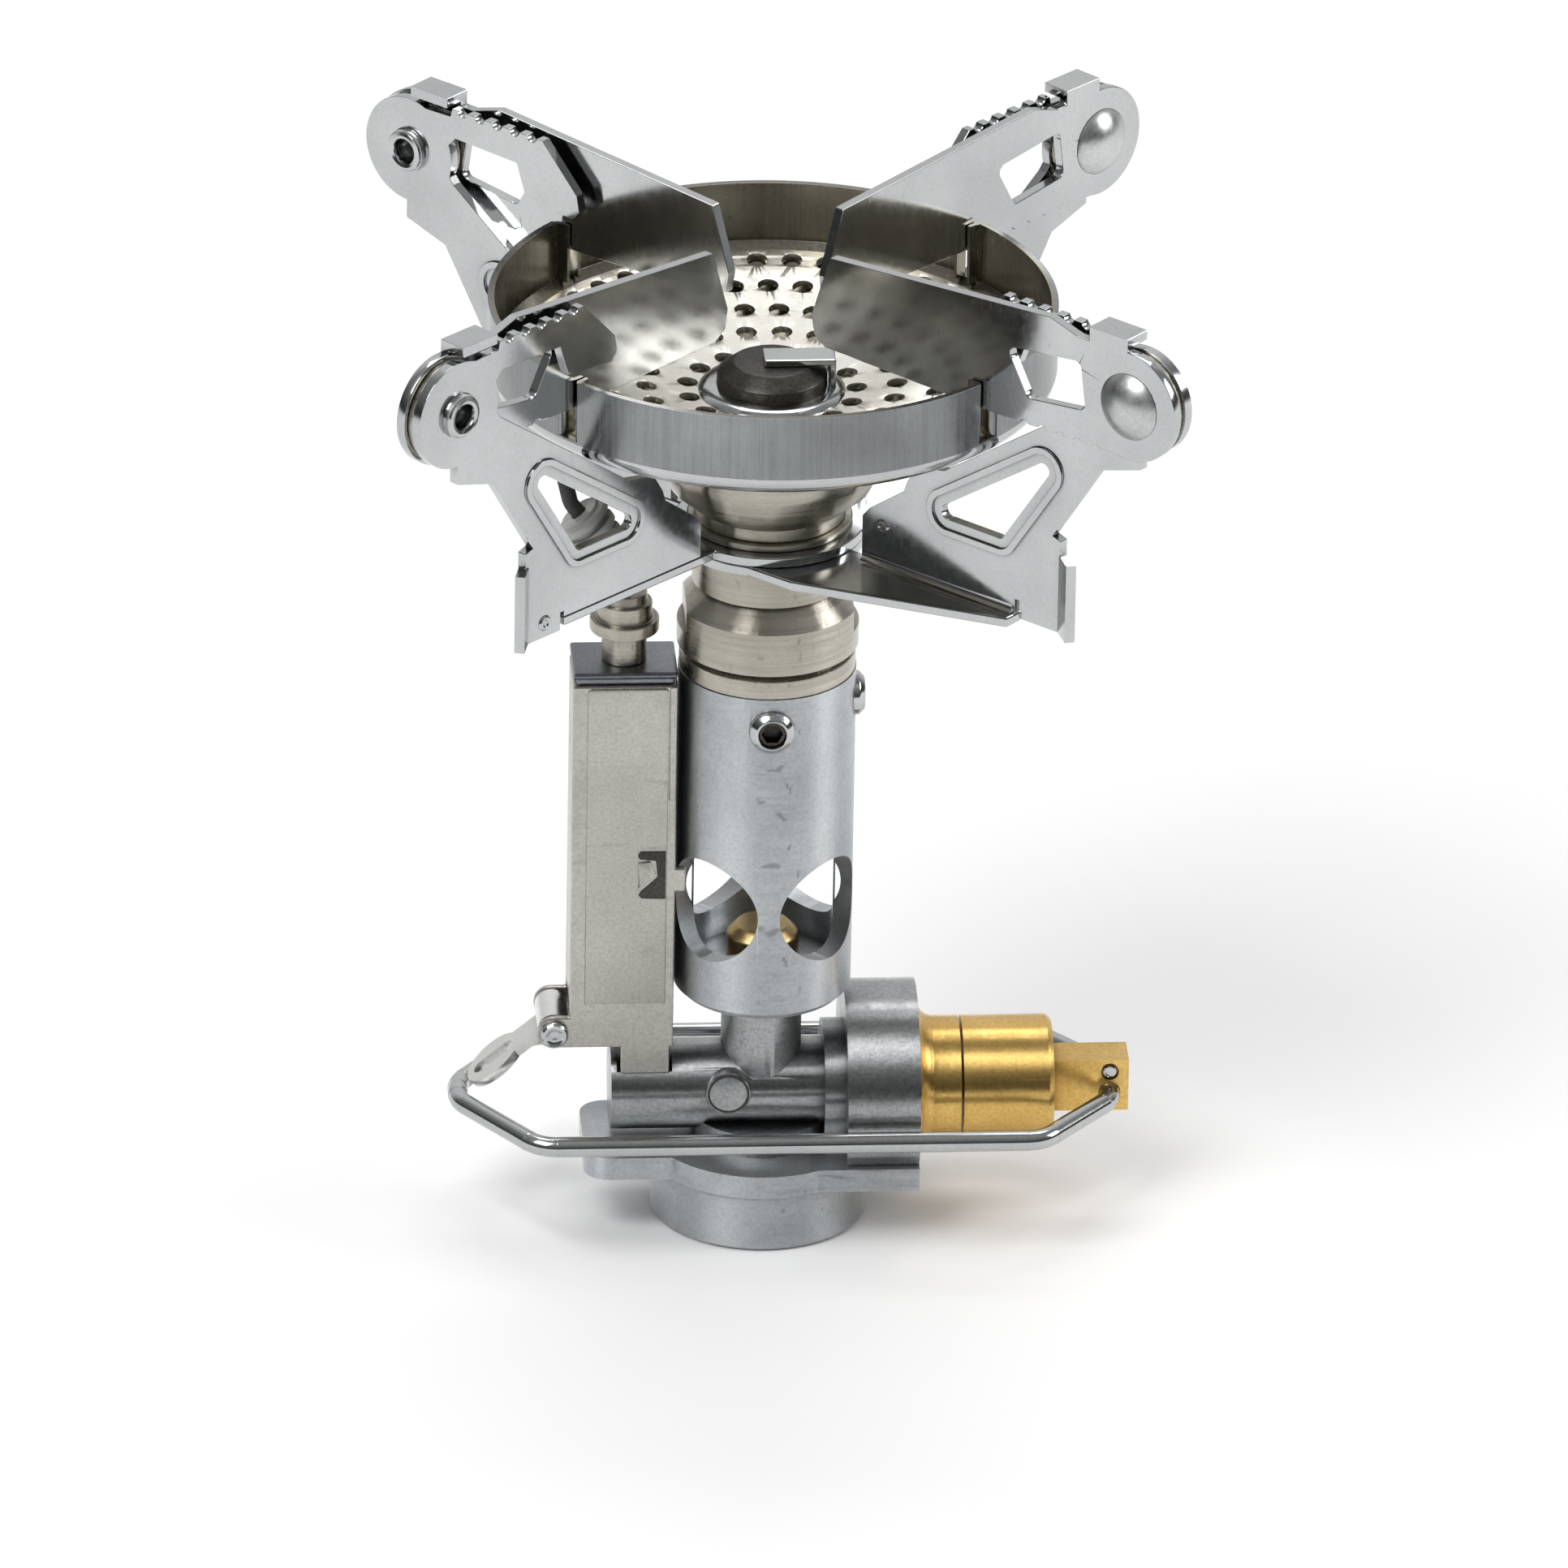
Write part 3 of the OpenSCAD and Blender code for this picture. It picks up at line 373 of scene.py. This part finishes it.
def lathe(name, points, steps, matrix, material):
    """A piece made by a full turn of a profile about Z, set in its place by the matrix."""
    shape = bmesh.new()
    bmesh.ops.spin(shape, geom=profile(shape, points), cent=(0, 0, 0), axis=(0, 0, 1),
                   angle=2 * math.pi, steps=steps, use_merge=True)
    bmesh.ops.remove_doubles(shape, verts=shape.verts, dist=0.001 * MM)
    place(shape, matrix)
    finished(name, shape, material)


def lathe_ring(name, points, steps, matrix, material):
    """A ring made the same way, from a profile that closes on itself."""
    lathe(name, points + points[:1], steps, matrix, material)


def drawn_out(points, along):
    """A flat outline drawn out into a solid bar."""
    shape = bmesh.new()
    near = shape.faces.new([shape.verts.new(point) for point in points])
    grown = bmesh.ops.extrude_face_region(shape, geom=[near], use_keep_orig=True)["geom"]
    bmesh.ops.translate(shape, verts=verts_of(grown), vec=along)
    return shape


# Thread of the canister socket: one helical ridge, in millimetres, its root sunk into the wall
THREAD_R = 5.55
THREAD_ROOT_R = THREAD_R + 0.03
THREAD_DEPTH = 0.45
THREAD_PITCH = 0.9
THREAD_START = 0.5
THREAD_TURNS = 4
TURN_STEPS = 48
RIDGE = [
    (THREAD_ROOT_R, THREAD_START),
    (THREAD_R - THREAD_DEPTH, THREAD_START + 0.4 * THREAD_PITCH),
    (THREAD_ROOT_R, THREAD_START + 0.8 * THREAD_PITCH),
]
thread = bmesh.new()
bmesh.ops.spin(thread, geom=profile(thread, RIDGE, closed=True), cent=(0, 0, 0), axis=(0, 0, 1),
               dvec=(0, 0, THREAD_PITCH * MM / TURN_STEPS), angle=2 * math.pi * THREAD_TURNS,
               steps=TURN_STEPS * THREAD_TURNS)
thread_ends = [edge for edge in thread.edges if edge.is_boundary]
bmesh.ops.holes_fill(thread, edges=thread_ends, sides=3)
finished("canister_thread_ridge", thread, turned)

# Hexagon sockets in the grub screws, at the front, right and back of the tube, coloured near black as
# painted shade in their depth
screw_low, screw_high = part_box("grub_screws")
SCREW_Z = middle(screw_low, screw_high)[2]
SOCKET_R = 1.5 * MM
HEX_R = 1.25 * MM
HEX_DEPTH = 1.0 * MM
SOCKET_AT = -screw_low[1] - 0.45 * MM
sockets = bmesh.new()
for angle in (-90, 0, 90):
    socket = bmesh.new()
    bmesh.ops.create_circle(socket, segments=24, radius=SOCKET_R)
    inner = bmesh.ops.create_circle(socket, segments=6, radius=HEX_R)["verts"]
    bmesh.ops.bridge_loops(socket, edges=socket.edges[:])
    rim = [edge for edge in socket.edges if all(vert in inner for vert in edge.verts)]
    deep = verts_of(bmesh.ops.extrude_edge_only(socket, edges=rim)["geom"])
    bmesh.ops.translate(socket, verts=deep, vec=(0, 0, -HEX_DEPTH))
    bmesh.ops.contextual_create(socket, geom=deep)
    place(socket, move(0, 0, SCREW_Z) @ turn(angle, "Z") @ turn(90, "Y") @ move(0, 0, SOCKET_AT))
    copy = bpy.data.meshes.new("socket")
    socket.to_mesh(copy)
    socket.free()
    sockets.from_mesh(copy)
    bpy.data.meshes.remove(copy)
finished("grub_screw_sockets", sockets, blackened_and_shade)

# Front and back plates of the igniter case, and the sheet edge that stands up at their right
case_low, case_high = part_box("igniter_case")
cap_low, cap_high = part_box("igniter_cap")
rivet_low, rivet_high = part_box("lever_rivet")
PLATE_LIFT = 0.22 * MM
PLATE_SINK = 0.05 * MM
PLATE_ROUND = 0.1 * MM


def case_plate(name, face, outline, rounded, corner, lift, material=case_steel):
    """A thin plate on a face of the case, given as its Y and the way out of it: the listed corners of
    the plate's outline are rounded."""
    y, out = face
    plate = bmesh.new()
    corners = [plate.verts.new((x, y - out * PLATE_SINK, z)) for x, z in outline]
    plate.faces.new(corners)
    bmesh.ops.bevel(plate, geom=[corners[i] for i in rounded], offset=corner, affect="VERTICES",
                    segments=6, profile=0.5, material=-1)
    raised = bmesh.ops.extrude_face_region(plate, geom=plate.faces[:])["geom"]
    bmesh.ops.translate(plate, verts=verts_of(raised), vec=(0, out * (lift + PLATE_SINK), 0))
    outer = [edge for edge in plate.edges
             if all(abs(vert.co.y - y) > PLATE_LIFT / 2 for vert in edge.verts)]
    bmesh.ops.bevel(plate, geom=outer, offset=PLATE_ROUND, affect="EDGES", segments=2, profile=0.5,
                    material=-1)
    finished(name, plate, material)


def rectangle(left, right, bottom, top):
    return [(left, bottom), (right, bottom), (right, top), (left, top)]


CASE_FRONT = (case_low[1], -1)
CASE_BACK = (case_high[1], 1)
CASE_TOP = case_high[2]
PLATE_RIGHT = cap_high[0] - 1.0 * MM
PLATE = rectangle(cap_low[0] + 1.7 * MM, PLATE_RIGHT, rivet_high[2] + 2.2 * MM, CASE_TOP - 0.3 * MM)
PLATE_CORNER = 0.5 * MM
SHEET_EDGE = rectangle(cap_high[0] - 0.85 * MM, cap_high[0] - 0.1 * MM, CASE_TOP - 14.5 * MM,
                       CASE_TOP - 0.02 * MM)
SHEET_EDGE_CORNER = 0.2 * MM
UPPER_CORNERS = (2, 3)
for side, face in (("front", CASE_FRONT), ("back", CASE_BACK)):
    case_plate("case_" + side + "_plate", face, PLATE, UPPER_CORNERS, PLATE_CORNER, PLATE_LIFT)
    case_plate("case_" + side + "_edge", face, SHEET_EDGE, UPPER_CORNERS, SHEET_EDGE_CORNER,
               1.6 * PLATE_LIFT)

# Clip that holds the case to the tube: a notch in the front plate's edge, filled with a near-black sheet
# as painted shade, and the tongue bent into it, in millimetres left of the plate's edge and below the
# case's top
NOTCH = [(3.2, 22.0), (3.4, 21.4), (3.1, 20.9), (0.1, 20.9), (0.1, 27.1), (2.9, 27.0), (3.3, 26.6),
         (3.1, 26.1), (1.1, 24.2), (1.3, 22.2)]
TONGUE = [(3.3, 25.7), (3.3, 22.4), (1.9, 22.2), (1.2, 23.9)]
CLIP_CORNER = 0.15 * MM
for name, points, lift, look in (
        ("case_clip_notch", NOTCH, 1.2 * PLATE_LIFT, blackened_and_shade),
        ("case_clip_tongue", TONGUE, 2.0 * PLATE_LIFT, case_steel)):
    outline = [(PLATE_RIGHT - x * MM, CASE_TOP - z * MM) for x, z in points]
    case_plate(name, CASE_FRONT, outline, range(len(outline)), CLIP_CORNER, lift, look)

# Flange that the centre cap stands on, in millimetres out from Z and up from the flame plate
FLANGE = [(6.35, -0.3), (6.35, 0.75), (7.3, 0.7), (8.0, 0.5), (8.4, 0.1), (8.45, -0.3)]
FLANGE_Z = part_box("flame_plate")[0][2] + 1.15 * MM
lathe_ring("centre_cap_flange", FLANGE, 64, move(0, 0, FLANGE_Z), polished)

# Rolled lower edge of the pan: millimetres outwards from its wall and up from the wall's foot
ROLLED_EDGE = [(-0.1, 0.25), (-0.02, -0.2), (-0.22, -0.9), (-0.75, -1.6), (-1.6, -2.15), (-2.8, -2.6),
               (-3.9, -3.0), (-3.9, -2.5), (-0.6, 0.0)]
WALL_FOOT = RIM_HEIGHT - 7.6 * MM
edge_points = [(PAN_R / MM + x, z) for x, z in ROLLED_EDGE]
lathe_ring("pan_rolled_edge", edge_points, 128, move(0, 0, WALL_FOOT), polished)

# Dark seam on the face of the passage plug, in millimetres from its middle
PLUG_SEAM = [(2.15, -0.05), (2.15, 0.03), (2.42, 0.03), (2.42, -0.05)]
plug_low, plug_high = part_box("passage_plug")
plug_middle = middle(plug_low, plug_high)
plug_face = move(plug_middle[0], plug_low[1], plug_middle[2])
lathe_ring("passage_plug_seam", PLUG_SEAM, 48, plug_face @ turn(90, "X"), blackened_and_shade)

# Rounded folds where each bracket's uprights stand on its base plate
BRACKET_FACE = 0.5 * MM
BRACKET_BACK = 1.7 * MM
FOLD_R = 1.1 * MM
FOLD_STEPS = 8
FOLD_SINK = 0.05 * MM
FOLD_FROM, FOLD_TO = 13.4 * MM, 35.2 * MM
fold_points = [(BRACKET_FACE + FOLD_SINK, -FOLD_SINK), (BRACKET_FACE + FOLD_SINK, FOLD_R)]
for step in range(FOLD_STEPS + 1):
    bend = math.pi / 2 * step / FOLD_STEPS
    fold_points.append((BRACKET_FACE - FOLD_R * (1 - math.cos(bend)), FOLD_R * (1 - math.sin(bend))))
fold_points.append((BRACKET_FACE - FOLD_R, -FOLD_SINK))
for corner in AZIMUTHS:
    plate_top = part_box(BASE_PLATES[corner])[1][2]
    fold = drawn_out([(FOLD_FROM, y, z) for y, z in fold_points], (FOLD_TO - FOLD_FROM, 0, 0))
    place(fold, move(0, 0, plate_top) @ corner_turn(corner))
    finished("bracket_fold_" + corner, fold, polished)

# Lips bent inwards at the slots of the pan, along both sides of each arm: millimetres outwards from the
# pan's wall and from the slot's edge towards the arm
SLOT_LIP = [(-0.15, -0.1), (-0.15, 0.05), (-0.25, 0.35), (-0.5, 0.6), (-0.9, 0.72), (-2.1, 0.72),
            (-2.1, 0.3), (-1.2, 0.2), (-0.75, -0.1)]
SLOT_MIDDLE, SLOT_W = -1.1 * MM, 3.0 * MM
LIP_FOOT = WALL_FOOT + 0.3 * MM
LIP_TOP = RIM_HEIGHT - 0.1 * MM
for corner in AZIMUTHS:
    for number, side in enumerate((-1, 1), 1):
        slot_edge = SLOT_MIDDLE + side * SLOT_W / 2
        outline = [(PAN_R + x * MM, slot_edge - side * y * MM, LIP_FOOT) for x, y in SLOT_LIP]
        lip = drawn_out(outline, (0, 0, LIP_TOP - LIP_FOOT))
        place(lip, corner_turn(corner))
        finished(f"pan_slot_lip_{corner}_{number}", lip, pan_steel)

# The arms' pivots, and the two sides of an upright with the tilt that points out of each
PIVOT_R, PIVOT_Z = 53.0 * MM, 118.8 * MM
OUT_OF_BACK = (BRACKET_BACK, -90)
OUT_OF_FACE = (BRACKET_FACE, 90)


def on_upright(corner, inwards, below, side):
    """A place on a side of an upright, inwards from the arm's pivot and below it."""
    y, tilt = side
    return corner_turn(corner) @ move(PIVOT_R - inwards, y, PIVOT_Z - below) @ turn(tilt, "X")


# Rolled lips on the hollow ends of the arm rivets
EYELET = [(1.42, -1.0), (1.42, 0.5), (1.58, 0.86), (1.95, 1.0), (2.32, 0.9), (2.56, 0.6), (2.66, 0.02),
          (1.55, 0.02), (1.55, -1.0)]
for corner in AZIMUTHS:
    lathe_ring("rivet_eyelet_" + corner, EYELET, 40, on_upright(corner, 0, 0, OUT_OF_BACK), polished)

# Punched dimples on the uprights' feet
DIMPLE = [(0.0, 0.12), (0.3, 0.12), (0.5, 0.26), (0.72, 0.26), (0.92, 0.1), (0.98, -0.05), (0.0, -0.05)]
DIMPLES = [(14.2 * MM, 30.6 * MM, OUT_OF_BACK), (36.8 * MM, 27.2 * MM, OUT_OF_FACE)]
for corner in AZIMUTHS:
    for number, dimple_place in enumerate(DIMPLES, 1):
        lathe(f"foot_dimple_{corner}_{number}", DIMPLE, 24, on_upright(corner, *dimple_place), polished)

# Crimped ends of the lever's rivet
CRIMP = [(1.55, -0.05), (1.55, 0.08), (1.35, 0.3), (1.05, 0.34), (0.85, 0.22), (0.55, 0.16), (0.3, 0.24),
         (0.0, 0.26)]
rivet_middle = middle(rivet_low, rivet_high)
for side, y, tilt in (("front", rivet_low[1], 90), ("back", rivet_high[1], -90)):
    rivet_end = move(rivet_middle[0], y, rivet_middle[2]) @ turn(tilt, "X")
    lathe("lever_rivet_crimp_" + side, CRIMP, 36, rivet_end, polished)


# Stage, light and camera

FLOOR_SIZE = 6.0
FLOOR_WHITE = (0.92, 0.92, 0.92, 1.0)
FLOOR_ROUGH = 0.9
STOVE_MIDDLE = Vector((0.0, 0.0, 0.06))


def add_floor():
    """A plain matt white floor."""
    material, _, shader = new_material("white_floor")
    shader.inputs["Base Color"].default_value = FLOOR_WHITE
    shader.inputs["Roughness"].default_value = FLOOR_ROUGH
    bpy.ops.mesh.primitive_plane_add(size=FLOOR_SIZE)
    floor = bpy.context.object
    floor.name = "floor"
    floor.data.materials.append(material)


def add_light(name, position, size, power):
    """A rectangular soft light that faces the middle of the stove."""
    lamp = bpy.data.lights.new(name, "AREA")
    lamp.shape = "RECTANGLE"
    lamp.size, lamp.size_y = size
    lamp.energy = power
    light = bpy.data.objects.new(name, lamp)
    bpy.context.collection.objects.link(light)
    aim = (STOVE_MIDDLE - Vector(position)).to_track_quat("-Z", "Y")
    light.matrix_world = Matrix.Translation(position) @ aim.to_matrix().to_4x4()


# Light of the room: low down, overhead, and added behind the stove
ROOM_LOW = 0.04
ROOM_HIGH = 0.38
ROOM_BEHIND = 0.65


def studio_world():
    """A grey room that is darker low down in front, brighter overhead and pale behind the stove."""
    world = bpy.data.worlds.new("studio")
    world.use_nodes = True
    tree = world.node_tree
    direction = tree.nodes.new("ShaderNodeTexCoord")
    split = tree.nodes.new("ShaderNodeSeparateXYZ")
    tree.links.new(direction.outputs["Generated"], split.inputs[0])
    level = combine(tree, "ADD", spread(tree, split.outputs["Z"], 0.1, 0.9, ROOM_LOW, ROOM_HIGH),
                    spread(tree, split.outputs["Y"], 0.35, 0.75, 0.0, ROOM_BEHIND))
    background = tree.nodes["Background"]
    tree.links.new(level, background.inputs["Strength"])
    background.inputs["Color"].default_value = (1.0, 1.0, 1.0, 1.0)
    bpy.context.scene.world = world


def photograph_camera():
    """Looks at the point that lies behind the middle of the photograph."""
    azimuth, elevation = math.radians(CAMERA_AZIMUTH), math.radians(CAMERA_ELEVATION)
    towards = Vector((math.cos(elevation) * math.sin(azimuth), -math.cos(elevation) * math.cos(azimuth),
                      math.sin(elevation)))
    right = Vector((math.cos(azimuth), math.sin(azimuth), 0.0))
    share = (BASE_PIXEL.y - IMAGE / 2) / (BASE_PIXEL.y - RIM_PIXEL.y)
    axis_x = BASE_PIXEL.x + share * (RIM_PIXEL.x - BASE_PIXEL.x)
    target = Vector((0.0, 0.0, share * RIM_HEIGHT)) + (IMAGE / 2 - axis_x) * PIXEL * right
    camera_data = bpy.data.cameras.new("camera")
    camera_data.sensor_fit = "HORIZONTAL"
    camera_data.sensor_width = SENSOR
    camera_data.lens = SENSOR * CAMERA_DISTANCE / (IMAGE * PIXEL)
    camera_data.clip_start = 0.1
    camera = bpy.data.objects.new("camera", camera_data)
    bpy.context.collection.objects.link(camera)
    aim = (-towards).to_track_quat("-Z", "Y").to_matrix().to_4x4()
    roll = turn(CAMERA_ROLL, "Z")
    camera.matrix_world = Matrix.Translation(target + CAMERA_DISTANCE * towards) @ aim @ roll
    bpy.context.scene.camera = camera


add_floor()
add_light("key_softbox", (-0.7, -0.6, 1.2), (0.8, 0.8), 14.0)
add_light("fill_softbox", (1.1, -0.1, 0.65), (0.6, 0.5), 6.0)
add_light("top_softbox", (0.1, 0.6, 1.4), (1.0, 0.5), 5.5)
studio_world()
photograph_camera()
bpy.context.scene.view_settings.view_transform = "Standard"
